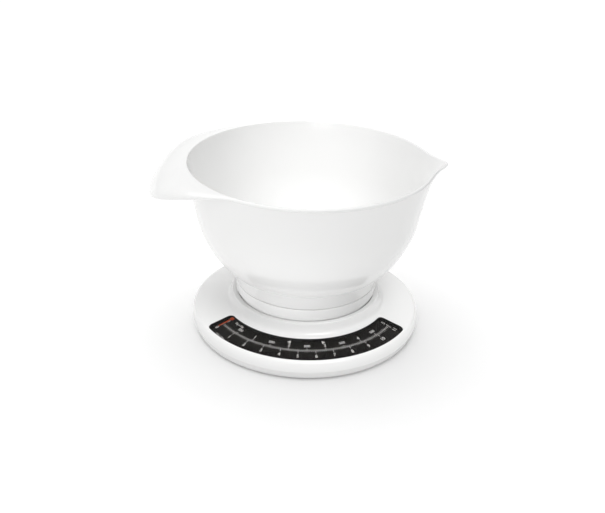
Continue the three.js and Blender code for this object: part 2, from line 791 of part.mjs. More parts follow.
function crankGeometry() {
  const hub = rod(2.8, 5.4, 18);
  const long = sidePlate([
    [-1.5, 0],
    ...arc(0, -CRANK_LONG, 1.2, Math.PI, Math.PI * 2, 6),
    [1.5, 0],
  ], -1, 1);
  const short = sidePlate([
    [0, -0.7],
    [0, 0.7],
    ...arc(-CRANK_SHORT, 0, 1, Math.PI / 2, (Math.PI * 3) / 2, 6),
  ], -1, 1);
  return cut(join(hub, long, short), rod(1.5, 8, 12));
}

function crankBracketGeometry() {
  const floor = CHASSIS_TOP + GAP;
  const [x, y, z] = CRANK_AT.toArray();
  const cheek = (side) => {
    const middle = x + side * 4.1;
    return box(middle - 0.6, middle + 0.6, y - 4, y + 3.4, floor, z + 2.4);
  };
  const foot = box(x - 4.7, x + 4.7, y - 4, y + 3.4, floor, floor + 1.2);
  return cut(join(foot, cheek(-1), cheek(1)), rod(1.5, 14, 14).translate(x, y, z));
}

// Pin with a head at one end and a groove for a retaining clip at the other.
function pinGeometry(length) {
  const half = length / 2;
  return lathe([
    [0, -half],
    [2, -half],
    [2, -half + 0.8],
    [1.2, -half + 0.8],
    [1.2, half - 1.4],
    [0.9, half - 1.2],
    [0.9, half - 0.8],
    [1.2, half - 0.6],
    [1.2, half],
    [0, half],
  ], 10).rotateY(Math.PI / 2);
}

part('pinion_spindle', pinionSpindleGeometry(), BRASS);
part('pointer', pointerGeometry(), ORANGE).rotation.z = THREE.MathUtils.degToRad(-POINTER_SWEEP / 2);
part('rack', rackGeometry(), BRASS);
part('rack_guide', rackGuideGeometry(), NYLON);
const crank = part('crank', crankGeometry(), STEEL);
crank.position.copy(CRANK_AT);
crank.rotation.x = -CRANK_SWING / 2;
part('crank_bracket', crankBracketGeometry(), STEEL);
part('crank_pin', pinGeometry(12.6), STEEL).position.copy(CRANK_AT);

// ---------------------------------------------------------------- zero adjustment

// Bent lever: the springs hang from its front bar and the wheel's screw lifts its rear end.
function zeroLeverGeometry() {
  const { y, z } = ZERO_PIVOT;
  const rear = ZERO_WHEEL.y + 4;
  const rearZ = 13.3;
  const front = y - 20;
  const half = BAR_T / 2;
  const strip = sidePlate([
    [rear, rearZ - half],
    [rear, rearZ + half],
    [y + 4, z + half],
    [y - 3, z + half],
    [y - 3, BAR_Z + BAR_T],
    [front, BAR_Z + BAR_T],
    [front, BAR_Z],
    [y - 3 - BAR_T, BAR_Z],
    [y - 3 - BAR_T, z - half],
    [y + 4, z - half],
  ], -6.5, 6.5);
  const bar = prism(roundedRectangle(0, SPRINGS[0][1], 50, 7, 3), BAR_Z, BAR_Z + BAR_T);
  const barrel = rod(2.4, 16, 16).translate(0, y, z);
  return cut(
    join(strip, bar, barrel),
    rod(1.5, 30, 14).translate(0, y, z),
    discAt([ZERO_WHEEL.x, ZERO_WHEEL.y], 2.3, 10, 20, 14),
    ...SPRINGS.map((at) => discAt(at, 1.2, BAR_Z - 1, BAR_Z + 3, 10)),
  );
}

// Fluted wheel lying flat, with a screw standing up from its middle.
function zeroWheelGeometry() {
  const outline = [];
  const flutes = 30;
  for (let i = 0; i < flutes * 2; i += 1) {
    const angle = (i / flutes) * Math.PI;
    const r = ZERO_WHEEL_R - (i % 2 ? 0.7 : 0);
    outline.push([r * Math.cos(angle), r * Math.sin(angle)]);
  }
  const rim = prism(outline, 0, ZERO_WHEEL_T);
  const screw = disc(2, ZERO_WHEEL_T - 1, 11.5, 14);
  return cut(join(rim, screw), disc(1.8, -1, 3.4, 12));
}

part('zero_lever', zeroLeverGeometry(), STEEL);
part('zero_pivot_pin', pinGeometry(22), STEEL).position.copy(ZERO_PIVOT);
part('zero_wheel', zeroWheelGeometry(), WHITE).position.copy(ZERO_WHEEL);

// ---------------------------------------------------------------- assembly

const bounds = new THREE.Box3().setFromObject(scale);
scale.position.x = -(bounds.min.x + bounds.max.x) / 2;

export default scale;
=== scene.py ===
"""Kitchen scale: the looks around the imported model. Shapes are given in millimetres and
turned into metres in mesh_from; the row's frame has the floor at z = 0 and the dial at -Y."""

import bpy
import bmesh
import math
from mathutils import Matrix, Vector


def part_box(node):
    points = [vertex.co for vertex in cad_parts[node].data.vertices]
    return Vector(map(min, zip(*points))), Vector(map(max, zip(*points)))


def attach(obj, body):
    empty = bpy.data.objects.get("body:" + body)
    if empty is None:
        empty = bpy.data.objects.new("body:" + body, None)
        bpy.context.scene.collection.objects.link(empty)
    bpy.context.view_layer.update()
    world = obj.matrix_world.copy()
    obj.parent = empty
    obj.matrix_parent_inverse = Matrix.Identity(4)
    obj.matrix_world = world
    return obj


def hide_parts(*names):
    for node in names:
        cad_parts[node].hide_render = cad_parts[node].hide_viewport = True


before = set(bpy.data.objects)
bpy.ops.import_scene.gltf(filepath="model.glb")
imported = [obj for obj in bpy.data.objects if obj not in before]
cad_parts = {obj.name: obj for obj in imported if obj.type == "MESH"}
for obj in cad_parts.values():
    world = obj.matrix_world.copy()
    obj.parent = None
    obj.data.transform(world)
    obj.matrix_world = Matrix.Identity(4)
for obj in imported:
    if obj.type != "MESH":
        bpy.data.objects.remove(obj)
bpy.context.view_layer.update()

MM = 0.001
AXIS = sum(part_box("spindle_bush"), Vector()) / 2 / MM  # the scale's own vertical axis
AXIS.y = AXIS.z = 0


# ------------------------------------------------------------------ mesh helpers


def mesh_from(name, points, faces, body, finish, replaces=(), sharp=None, turn=0.0):
    """A smooth mesh from points in mm about the scale's axis, riding on a body."""
    mesh = bpy.data.meshes.new(name)
    spin = Matrix.Rotation(math.radians(turn), 3, "Z")
    mesh.from_pydata([(spin @ Vector(p) + AXIS) * MM for p in points], [], faces)
    tidy(mesh, sharp)
    return place(name, mesh, body, finish, replaces)


def tidy(mesh, sharp=None):
    """Merges doubles, faces everything outwards and shades it smooth, but for sharp edges."""
    bm = bmesh.new()
    bm.from_mesh(mesh)
    bmesh.ops.remove_doubles(bm, verts=bm.verts, dist=1e-7)
    bmesh.ops.dissolve_degenerate(bm, edges=bm.edges, dist=1e-8)
    bmesh.ops.delete(bm, geom=[v for v in bm.verts if not v.link_faces], context="VERTS")
    bmesh.ops.recalc_face_normals(bm, faces=bm.faces)
    for face in bm.faces:
        face.smooth = True
    if sharp is not None:
        for edge in bm.edges:
            edge.smooth = len(edge.link_faces) == 2 and edge.calc_face_angle() < math.radians(sharp)
    bm.to_mesh(mesh)
    bm.free()


def place(name, mesh, body, finish, replaces=()):
    obj = bpy.data.objects.new(name, mesh)
    bpy.context.scene.collection.objects.link(obj)
    obj.data.materials.append(finish)
    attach(obj, body)
    if replaces:
        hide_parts(*replaces)
    return obj


def weighted(obj):
    """Even normals over flat faces next to small roundings."""
    obj.modifiers.new("even_normals", "WEIGHTED_NORMAL").keep_sharp = True
    return obj


def fillet(corners, steps=5):
    """A polyline of (r, z, radius) corners with each corner rounded to its radius."""
    out = []
    for i, (x, y, radius) in enumerate(corners):
        if radius == 0 or i in (0, len(corners) - 1):
            out.append((x, y))
            continue
        here = Vector((x, y))
        back = (Vector(corners[i - 1][:2]) - here).normalized()
        ahead = (Vector(corners[i + 1][:2]) - here).normalized()
        half = back.angle(ahead) / 2
        reach = radius / math.tan(half)
        centre = here + (back + ahead).normalized() * (radius / math.sin(half))
        start, end = here + back * reach - centre, here + ahead * reach - centre
        for k in range(steps + 1):
            out.append(tuple(centre + start.slerp(end, k / steps).normalized() * radius))
    return out


def bezier(p0, p1, p2, p3, parameters):
    out = []
    for t in parameters:
        a, b, c, d = (1 - t) ** 3, 3 * t * (1 - t) ** 2, 3 * t * t * (1 - t), t**3
        out.append(tuple(a * p0[k] + b * p1[k] + c * p2[k] + d * p3[k] for k in (0, 1)))
    return out


def spread(first, last, count):
    return [first + (last - first) * i / count for i in range(count + 1)]


def sweep(sections):
    """Points and quads of a closed run of sections, each a list of points of one length."""
    count = len(sections[0])
    points = [p for section in sections for p in section]
    faces = []
    for i in range(len(sections)):
        a, b = i * count, (i + 1) % len(sections) * count
        faces += [(a + k, b + k, b + k + 1, a + k + 1) for k in range(count - 1)]
    return points, faces


def polar(r, z, degrees):
    a = math.radians(degrees)
    return (r * math.cos(a), r * math.sin(a), z)


def lathe(profile, segments=128):
    return sweep([[polar(r, z, 360 * i / segments) for r, z in profile] for i in range(segments)])


def merge(*shapes):
    points, faces = [], []
    for more_points, more_faces in shapes:
        start = len(points)
        points += more_points
        faces += [tuple(i + start for i in face) for face in more_faces]
    return points, faces


def moved(shape, x, y):
    points, faces = shape
    return [(a + x, b + y, c) for a, b, c in points], faces


def rings_joined(rings, closed=False):
    """Points and quads between rings of one length, one after the other."""
    count = len(rings[0])
    faces = []
    for k in range(len(rings) if closed else len(rings) - 1):
        here, there = k * count, (k + 1) % len(rings) * count
        for i in range(count):
            j = (i + 1) % count
            faces.append((here + i, here + j, there + j, there + i))
    return [p for ring in rings for p in ring], faces


def radius_at(profile, z):
    """Radius of a rising profile at height z."""
    for (r0, z0), (r1, z1) in zip(profile, profile[1:]):
        if z0 <= z <= z1:
            return r0 + (r1 - r0) * (z - z0) / (z1 - z0)
    raise ValueError(z)


def applied(obj):
    """The mesh that an object's modifiers, or its text, come to."""
    bpy.context.view_layer.update()
    now = obj.evaluated_get(bpy.context.evaluated_depsgraph_get())
    return bpy.data.meshes.new_from_object(now)


def cut_away(obj, mesh):
    """Cuts a closed mesh out of an object for good."""
    cutter = bpy.data.objects.new("cutter", mesh)
    bpy.context.scene.collection.objects.link(cutter)
    cut = obj.modifiers.new("cut", "BOOLEAN")
    cut.object = cutter
    cut.operation = "DIFFERENCE"
    cut.solver = "EXACT"
    cut.use_self = True
    old, obj.data = obj.data, applied(obj)
    obj.modifiers.remove(cut)
    bpy.data.meshes.remove(old)
    bpy.data.objects.remove(cutter)
    tidy(obj.data, 32)


# ------------------------------------------------------------------ finishes


class Finish:
    """A material whose Principled shader is fed by procedural nodes."""

    def __init__(self, name, color, roughness, **sockets):
        self.material = bpy.data.materials.new(name)
        self.material.use_nodes = True
        self.tree = self.material.node_tree
        self.shader = self.tree.nodes["Principled BSDF"]
        self.set("Base Color", (*color, 1.0))
        self.set("Roughness", roughness)
        for socket, value in sockets.items():
            self.set(socket.replace("_", " "), value)
        self.where = self.node("ShaderNodeTexCoord").outputs["Object"]

    def node(self, kind, **settings):
        made = self.tree.nodes.new(kind)
        for key, value in settings.items():
            setattr(made, key, value)
        return made

    def set(self, socket, value):
        self.shader.inputs[socket].default_value = value

    def link(self, a, b):
        self.tree.links.new(a, b)

    def noise(self, scale, detail, rough=0.55, stretch=(1, 1, 1)):
        mapping = self.node("ShaderNodeMapping")
        mapping.inputs["Scale"].default_value = stretch
        noise = self.node("ShaderNodeTexNoise")
        noise.inputs["Scale"].default_value = scale
        noise.inputs["Detail"].default_value = detail
        noise.inputs["Roughness"].default_value = rough
        self.link(self.where, mapping.inputs["Vector"])
        self.link(mapping.outputs["Vector"], noise.inputs["Vector"])
        return noise.outputs["Fac"]

    def between(self, fac, low, high):
        """The noise's middle half turned into a number from low to high."""
        ramp = self.node("ShaderNodeMapRange")
        ramp.inputs["From Min"].default_value = 0.3
        ramp.inputs["From Max"].default_value = 0.7
        ramp.inputs["To Min"].default_value = low
        ramp.inputs["To Max"].default_value = high
        self.link(fac, ramp.inputs["Value"])
        return ramp.outputs["Result"]

    def tinted(self, fac, dark, light):
        mix = self.node("ShaderNodeMix", data_type="RGBA")
        self.link(self.between(fac, 0, 1), mix.inputs[0])
        mix.inputs[6].default_value = (*dark, 1)
        mix.inputs[7].default_value = (*light, 1)
        self.link(mix.outputs[2], self.shader.inputs["Base Color"])

    def rough(self, fac, low, high):
        self.link(self.between(fac, low, high), self.shader.inputs["Roughness"])

    def bump(self, fac, depth, strength):
        bump = self.node("ShaderNodeBump")
        bump.inputs["Strength"].default_value = strength
        bump.inputs["Distance"].default_value = depth
        self.link(fac, bump.inputs["Height"])
        self.link(bump.outputs["Normal"], self.shader.inputs["Normal"])


def scaled(color, by):
    return tuple(c * by for c in color)


def white_plastic():
    color = (0.85, 0.85, 0.845)
    f = Finish("white_plastic", color, 0.2, IOR=1.5, Coat_Weight=0.35, Coat_Roughness=0.06)
    f.tinted(f.noise(9, 2), scaled(color, 0.985), color)
    f.rough(f.noise(60, 4), 0.17, 0.26)
    f.bump(f.noise(240, 2), 0.00002, 0.35)
    return f.material


def moulded(name, color, roughness, grain=900, depth=0.00003, shine=0.5):
    f = Finish(name, color, roughness)
    f.set("Specular IOR Level", shine)
    f.tinted(f.noise(120, 3), scaled(color, 0.86), scaled(color, 1.08))
    f.rough(f.noise(300, 3), roughness - 0.08, roughness + 0.08)
    f.bump(f.noise(grain, 3), depth, 0.5)
    return f.material


def metal(name, color, roughness, stretch):
    f = Finish(name, color, roughness, Metallic=1.0)
    f.tinted(f.noise(150, 4), scaled(color, 0.82), color)
    f.rough(f.noise(420, 5, 0.7, stretch), roughness - 0.1, roughness + 0.12)
    f.bump(f.noise(700, 4, 0.7, stretch), 0.00002, 0.6)
    return f.material


def clear_plastic():
    f = Finish("clear_window", (0.02, 0.02, 0.02), 0.03, Alpha=0.09)
    f.rough(f.noise(35, 3), 0.015, 0.05)
    return f.material


WHITE = white_plastic()
CLEAR = clear_plastic()
BLACK = moulded("dial_black", (0.0105, 0.0092, 0.0082), 0.42, 1400, shine=0.08)
INK = moulded("dial_ink", (0.85, 0.83, 0.8), 0.5, 1600, 0.00001, shine=0.2)
ORANGE = moulded("pointer_orange", (0.68, 0.1, 0.03), 0.38, 1100, shine=0.2)
SEAL = moulded("window_seal", (0.012, 0.012, 0.012), 0.5)
RUBBER = moulded("foot_rubber", (0.2, 0.2, 0.195), 0.85, 1500, 0.00006)
STEEL = metal("zinc_plate", (0.62, 0.63, 0.64), 0.38, (1, 6, 1))
SPRING = metal("spring_wire", (0.42, 0.43, 0.45), 0.34, (1, 1, 8))
BRASS = metal("turned_brass", (0.72, 0.53, 0.22), 0.3, (1, 1, 10))
NYLON = moulded("natural_nylon", (0.72, 0.69, 0.58), 0.5, 800)


# ------------------------------------------------------------------ bowl

BOWL_TURN = -2.0  # degrees between the bowl and the dial
WALL = 2.0
RIM_R, RIM_Z = 102.3, 150.0
RIM_IN = 100.2  # radius at which the rim's top ends and the inside begins
BEAD_Z = 147.9  # height of the rim's outer edge
UNDER_RIM = (101.3, 147.4)  # where the rim's underside leaves the wall
FOOT_Z = 42.5
FLOOR_UNDER, FLOOR_Z = 57.2, 59.6
SPOUT_WIDTH = 8.5  # degrees from the spout's middle to where a third of it is left
SPOUT_REACH, SPOUT_LOW = 12.7, 122.0
# the round lower body as a curve of (radius, height), then the straight wall above it
BODY = ((68, 58), (78.5, 66.5), (90, 86), (93.3, 104))
WALL_TOP = (101.2, 147.2)
LOWER_WALL = [108, 112, 116]
CORNER_Z = 146.6  # the corner to the rim starts a little below this height
# the wing-like handle's edge: degrees from its middle, radius, height
HANDLE = [
    (0, 131, 122.5),
    (14, 130.6, 128),
    (24, 130.4, 134),
    (30, 127, 137.5),
    (38, 119.5, 142),
    (47, 110, 146),
    (54, 104.2, BEAD_Z),
    (61, RIM_R, BEAD_Z),
]


def along_handle(angle, column):
    """A smooth curve through one column of HANDLE."""
    last = len(HANDLE) - 1

    def slope(i):
        if i in (0, last):
            return 0.0
        a, b = HANDLE[i - 1], HANDLE[i + 1]
        return (b[column] - a[column]) / (b[0] - a[0])

    i = min(max(k for k, s in enumerate(HANDLE) if s[0] <= angle), last - 1)
    a, b = HANDLE[i], HANDLE[i + 1]
    span = b[0] - a[0]
    t = (angle - a[0]) / span
    rise = t * t * (3 - 2 * t)
    leave = t * (1 - t) ** 2 * span * slope(i)
    arrive = t * t * (t - 1) * span * slope(i + 1)
    return a[column] + (b[column] - a[column]) * rise + leave + arrive


def rim_edge(azimuth):
    from_handle = 180 - abs(azimuth)
    if from_handle >= HANDLE[-1][0]:
        return RIM_R, BEAD_Z
    return along_handle(from_handle, 1), along_handle(from_handle, 2)


def spout_bulge(azimuth, z):
    """How far the spout carries the wall outwards."""
    if z <= SPOUT_LOW:
        return 0.0
    across = (1 + (azimuth / SPOUT_WIDTH) ** 2) ** -1.5
    return SPOUT_REACH * across * ((z - SPOUT_LOW) / (RIM_Z - SPOUT_LOW)) ** 2.2


def inner_body(t):
    """The body's curve, set inwards by the wall's thickness."""
    (x, y), = bezier(*BODY, [t])
    (x0, y0), (x1, y1) = bezier(*BODY, [t - 0.001, t + 0.001])
    along = Vector((x1 - x0, y1 - y0)).normalized()
    return x - along.y * WALL, y + along.x * WALL


def wall_at(z, offset=0.0):
    (x0, z0), (x1, z1) = BODY[3], WALL_TOP
    return x0 + (x1 - x0) * (z - z0) / (z1 - z0) - offset, z


FOOT = fillet([
    (0, FLOOR_UNDER, 0),
    (56.8, FLOOR_UNDER, 1.2),
    (57.5, FOOT_Z, 0.5),
    (61.2, FOOT_Z, 0.9),
    (62.5, FLOOR_UNDER - 0.3, 1.6),
    (67.3, FLOOR_UNDER + 0.1, 0.7),
    (*bezier(*BODY, [0.06])[0], 0),
])
OUTSIDE = (
    FOOT[:-1]
    + bezier(*BODY, spread(0.06, 1, 26))
    + [wall_at(z) for z in LOWER_WALL + spread(119, 146.4, 20)]
)
INSIDE = (
    [wall_at(z, WALL) for z in spread(147.6, 119, 20) + LOWER_WALL[::-1]]
    + [inner_body(t) for t in spread(1, 0.12, 24)]
    + bezier(inner_body(0.1), (67.6, FLOOR_Z + 0.5), (66, FLOOR_Z), (58, FLOOR_Z), spread(0.05, 1, 10))
    + [(30, FLOOR_Z), (0, FLOOR_Z)]
)


def bowl_section(azimuth):
    """The bowl's closed outline at one azimuth, from the axis out under the rim and back inside."""
    edge_r, edge_z = rim_edge(azimuth)
    start_r, start_z = UNDER_RIM
    thick = min(WALL, 0.3 * (edge_r - 100.8))
    under_r = edge_r - thick
    reach, droop = edge_r - RIM_IN, RIM_Z - edge_z
    lip = edge_z + 0.45 * thick
    root = 0.25 + 1.6 * min(1.0, (edge_r - RIM_R) / 8)
    under = bezier(
        UNDER_RIM,
        (start_r + 0.55 * (under_r - start_r), start_z - 0.03 * droop),
        (under_r - 0.03 * reach, edge_z + 0.45 * max(droop - 2.6, 0)),
        (under_r, lip),
        spread(0.1, 1, 14),
    )
    corner = bezier(wall_at(CORNER_Z - root), WALL_TOP, WALL_TOP, under[0], spread(0, 0.96, 5))
    edge = [
        (edge_r - thick / 2 * (1 + math.cos(a)), lip - thick / 2 * math.sin(a))
        for a in spread(0.3, math.pi - 0.3, 6)
    ]
    top = bezier(
        (RIM_IN, RIM_Z - 0.05),
        (RIM_IN + 0.6 * reach, RIM_Z - 0.03 * droop),
        (edge_r - 0.03 * reach, edge_z + 0.55 * droop),
        (edge_r, lip),
        spread(1, 0.03, 18),
    )
    inner = bezier(
        (RIM_IN, RIM_Z - 0.05),
        (RIM_IN - 0.7, RIM_Z - 0.05),
        (wall_at(149.4, WALL)[0], 149.5),
        wall_at(147.9, WALL),
        spread(0.03, 1, 6),
    )
    outside = [p for p in OUTSIDE if p[1] < CORNER_Z - root]
    # the same number of points in every section, however high the corner starts
    outside += [wall_at(CORNER_Z - 0.1 - root)] * (len(OUTSIDE) - len(outside))
    section = outside + corner + under + edge + top + inner + INSIDE
    return [(r + spout_bulge(azimuth, z), z) for r, z in section]


def build_bowl():
    half = spread(0, 24, 40)[:-1] + spread(24, 112, 35)[:-1] + spread(112, 180, 68)
    azimuths = half + [-a for a in half[1:-1]][::-1]
    sections = [[polar(r, z, a) for r, z in bowl_section(a)] for a in azimuths]
    points, faces = sweep(sections)
    return mesh_from("bowl_shell", points, faces, "bowl", WHITE, ["bowl"], turn=BOWL_TURN)


bowl = build_bowl()


# ------------------------------------------------------------------ platform

POSTS = [(-40, -14), (40, -14), (-40, 30), (40, 30)]
PLATE_TOP, PLATE_UNDER = 45.2, 43.3
RIDGE_TOP = 45.5  # two low ridges on the plate
RING_TOP, RING_LOW = 42.2, 33.9
SKIRT_LOW = 27


def build_platform():
    """The plate with its two ridges, the ring that the bowl stands on, and the skirt in the neck."""
    profile = [
        (0, PLATE_UNDER, 0),
        (53, PLATE_UNDER, 0.6),
        (54, 40, 0.6),
        (56.6, 40, 0.4),
        (56.6, SKIRT_LOW, 0.4),
        (59.6, SKIRT_LOW, 0.6),
        (59.6, RING_LOW, 0.3),
        (61.3, RING_LOW, 0.5),
        (61.3, RING_TOP, 0.9),
        (56, RING_TOP, 0.4),
        (55, RIDGE_TOP, 0.8),
        (51.5, RIDGE_TOP, 0.2),
        (51.1, PLATE_TOP, 0.2),
        (20.2, PLATE_TOP, 0.2),
        (19.8, RIDGE_TOP, 0.2),
        (18.2, RIDGE_TOP, 0.2),
        (17.8, PLATE_TOP, 0.2),
        (0, PLATE_TOP, 0),
    ]
    return lathe(fillet(profile), 160)


def screw_holes():
    """A hole and a countersink for each of the platform's screws, as one mesh of plugs."""
    plugs = []
    for x, y in POSTS:
        for r, low, high in ((1.6, 40, 50), (3.2, PLATE_TOP - 1, 50)):
            plugs.append(moved(lathe([(0, low), (r, low), (r, high), (0, high)], 40), x, y))
    points, faces = merge(*plugs)
    mesh = bpy.data.meshes.new("screw_holes")
    mesh.from_pydata([(Vector(p) + AXIS) * MM for p in points], [], faces)
    tidy(mesh)
    return mesh


platform = mesh_from("weighing_platform", *build_platform(), "platform", WHITE, ["platform"])
cut_away(platform, screw_holes())
weighted(platform)


def cross(middle, size):
    """Two crossing bars of one size (mm), set at 20 degrees, as a mesh."""
    bm = bmesh.new()
    for turn in (20, 110):
        at = Matrix.Translation(middle) @ Matrix.Rotation(math.radians(turn), 4, "Z")
        bmesh.ops.create_cube(bm, size=1, matrix=at @ Matrix.Diagonal((*size, 1)))
    for vert in bm.verts:
        vert.co = (vert.co + AXIS) * MM
    mesh = bpy.data.meshes.new("cross")
    bm.to_mesh(mesh)
    bm.free()
    return mesh


def cross_screw(name, node, body, head_r, head_h, upright):
    """A pan-head screw with a cross recess in place of a plain CAD screw."""
    low, high = (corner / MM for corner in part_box(node))
    middle = (low + high) / 2 - AXIS
    length = high.z - low.z - head_h
    head = fillet([
        (0, -length, 0),
        (0.7, -length, 0.2),
        (1.25, -length + 1.4, 0),
        (1.25, 0, 0),
        (head_r, 0, 0.15),
        (head_r * 0.97, head_h * 0.45, 0.3),
        (head_r * 0.6, head_h * 0.97, 0.4),
        (0, head_h, 0),
    ])
    seat = high.z - head_h if upright else low.z + head_h
    flip = 1 if upright else -1
    points, faces = lathe(head, 48)
    points = [(x + middle.x, y * flip + middle.y, z * flip + seat) for x, y, z in points]
    screw = mesh_from(name, points, faces, body, STEEL, [node], 40)
    recess_at = (middle.x, middle.y, seat + flip * head_h * 0.95)
    cut_away(screw, cross(recess_at, (head_r * 1.05, head_r * 0.24, head_h * 1.1)))


SIDES = ["front_left", "front_right", "rear_left", "rear_right"]
for side in SIDES:
    cross_screw(f"platform_cross_screw_{side}", f"platform_screw_{side}", "platform", 2.8, 0.9, True)
    cross_screw(f"casing_cross_screw_{side}", f"casing_screw_{side}", "base", 2.6, 1.1, False)


# ------------------------------------------------------------------ base casing

CONE_R, CONE_Z, SLOPE = 72.0, 22.0, 0.207  # the top is a flat cone through this radius and height
CONE_IN, CONE_OUT = 70.0, 96.6
FRAME_HALF = 62.9  # degrees either side of the front that the faces round the opening take up
DIAL_IN, DIAL_OUT, DIAL_HALF, CORNER = 72.2, 95.6, 60.8, 4.4
SKIN = 1.5  # the top's thickness
OPENING_EDGE = 0.35  # rounding of the opening's edge
SLOT_LOW, SLOT_HIGH, SLOT_HALF = 3.8, 10.4, 5.4  # the zero wheel's slot at the back
WIDEST = (99.98, 8.4)  # where the skirt meets the shoulder
NECK_END = (63, 27.5)  # where the neck's lip ends inside
BOTTOM_Z = 1.3
HAIR = 1e-6  # allowance when azimuths or heights are compared


def cone_z(r):
    return CONE_Z - SLOPE * (r - CONE_R)


def from_front(azimuth, r, z):
    """A point at an azimuth counted from the front, -Y."""
    a = math.radians(azimuth)
    return (r * math.sin(a), -r * math.cos(a), z)


def opening(shrink=0.0, arcs=110, corner_steps=8, side_steps=10):
    """The dial opening's outline in plan, with rounded corners, and its numbers of steps.
    shrink moves the outline inwards."""
    inner, outer, corner = DIAL_IN + shrink, DIAL_OUT - shrink, CORNER - shrink
    drop = math.degrees(shrink / ((DIAL_IN + DIAL_OUT) / 2))
    half = DIAL_HALF - drop
    out_bend = math.degrees(math.asin(corner / (outer - corner)))
    in_bend = math.degrees(math.asin(corner / (inner + corner)))

    def at(r, azimuth):
        return Vector(from_front(azimuth, r, 0)).xy

    def rounded(r, azimuth, start, end, steps):
        centre = at(r, azimuth)
        return [centre + at(corner, a) for a in spread(start, end, steps)]

    right_out = rounded(outer - corner, half - out_bend, half - out_bend, half + 90, corner_steps)
    right_in = rounded(inner + corner, half - in_bend, half + 90, half + 180 - in_bend, corner_steps)
    side_a, side_b = right_out[-1], right_in[0]
    side = [side_a.lerp(side_b, k / side_steps) for k in range(side_steps + 1)]
    right = right_out[:-1] + side[:-1] + right_in
    left = [Vector((-p.x, p.y)) for p in reversed(right)]
    far = [at(outer, a) for a in spread(-(half - out_bend), half - out_bend, arcs)]
    near = [at(inner, a) for a in spread(half - in_bend, -(half - in_bend), arcs)]
    return far[:-1] + right[:-1] + near[:-1] + left[:-1], (arcs, corner_steps, side_steps)


def frame_loop(arcs, corner_steps, side_steps, inner, outer, half, outline):
    """The rectangle, in azimuth and radius, that the ring of faces round the opening ends on."""
    azimuth = [math.degrees(math.atan2(p.x, -p.y)) for p in outline]
    turn = corner_steps // 2
    run = 2 * corner_steps + side_steps
    out = [(a, outer) for a in azimuth[:arcs]]
    start, end = azimuth[arcs], azimuth[arcs + run]
    radii = spread(outer, inner, run - 2 * turn)
    for k in range(run):
        if k < turn:
            out.append((start + (half - start) * k / turn, outer))
        elif k <= run - turn:
            out.append((half, radii[k - turn]))
        else:
            out.append((half + (end - half) * (k - run + turn) / turn, inner))
    out += [(a, inner) for a in azimuth[arcs + run : 2 * arcs + run]]
    mirrored = [(-a, r) for a, r in reversed(out[arcs : arcs + run + 1])]
    return out[: 2 * arcs + run] + mirrored[:run]


def opening_surround(outline, loop):
    """The faces from the loop over the opening's rounded edge and back under the skin."""
    normals = []
    for i in range(len(outline)):
        along = outline[(i + 1) % len(outline)] - outline[i - 1]
        normals.append(Vector((along.y, -along.x)).normalized())
    rings = [[from_front(a, r, cone_z(r)) for a, r in loop]]
    for share in (0.66, 0.33):
        ring = []
        for p, n, (a, r) in zip(outline, normals, loop):
            m = (p + n * OPENING_EDGE).lerp(Vector(from_front(a, r, 0)).xy, share)
            ring.append((m.x, m.y, cone_z(m.length)))
        rings.append(ring)
    for bend in spread(0, 90, 5):
        out = OPENING_EDGE * (1 - math.sin(math.radians(bend)))
        down = OPENING_EDGE * (1 - math.cos(math.radians(bend)))
        plan = [p + n * out for p, n in zip(outline, normals)]
        rings.append([(m.x, m.y, cone_z(m.length) - down) for m in plan])
    rings.append([(p.x, p.y, cone_z(p.length) - SKIN) for p in outline])
    rings.append([from_front(a, r, cone_z(r) - SKIN) for a, r in loop])
    return rings_joined(rings)


def with_level(profile, z):
    """A rising profile with a point of its own at height z."""
    below = [p for p in profile if p[1] < z]
    above = [p for p in profile if p[1] > z]
    return below + [(radius_at(profile, z), z)] + above


def casing_outside():
    """The side from its lower lip up to the cone, with points at the slot's two heights."""
    rim = (CONE_OUT, cone_z(CONE_OUT))
    shoulder = bezier(WIDEST, (99.9, 12.6), (99.1, 16.2), rim, spread(0, 1, 16))
    skirt = fillet([(96.6, BOTTOM_Z, 0), (97.7, BOTTOM_Z, 0.4), (100, 7.9, 0.5), (*WIDEST, 0)])
    return with_level(skirt, SLOT_LOW) + with_level(shoulder[1:], SLOT_HIGH)


def casing_inside():
    start = (CONE_OUT, cone_z(CONE_OUT) - SKIN)
    curve = bezier(start, (97.9, cone_z(97.9) - SKIN), (98, 13), (98, SLOT_HIGH), spread(0, 1, 8))
    return curve + [(98, 7), (97.4, 4.6), (97.2, SLOT_LOW), (96.6, BOTTOM_Z)]


def casing_neck():
    """The flare from the cone up to the neck, over its lip and back down inside."""
    outer, inner = (CONE_IN, cone_z(CONE_IN)), (CONE_IN, cone_z(CONE_IN) - SKIN)
    flare = bezier(outer, (67.7, cone_z(67.7)), (66.3, 25.4), (65, 29.6), spread(0, 1, 12))
    lip = fillet([(*flare[-1], 0), (64.5, 31.2, 0.7), (60.2, 31.2, 0.7), (60.2, 28.9, 0.5), (*NECK_END, 0)])
    return flare + lip[1:] + bezier(NECK_END, (63.6, 25), (65.5, 21.9), inner, spread(0, 1, 8))[1:]


def in_slot(azimuths, heights):
    return (
        min(azimuths) >= 180 - SLOT_HALF - HAIR
        and max(azimuths) <= 180 + SLOT_HALF + HAIR
        and min(heights) >= SLOT_LOW - HAIR
        and max(heights) <= SLOT_HIGH + HAIR
    )


def band(profile, azimuths, slotted=False):
    """A profile carried round the axis. A slotted one is left open where the slot is."""
    points, faces = sweep([[from_front(a, r, z) for r, z in profile] for a in azimuths])
    if not slotted:
        return points, faces
    width = len(profile)

    def is_open(face):
        row = face[0] % width
        between = (azimuths[face[0] // width], azimuths[face[1] // width])
        return in_slot(between, (profile[row][1], profile[row + 1][1]))

    return points, [face for face in faces if not is_open(face)]


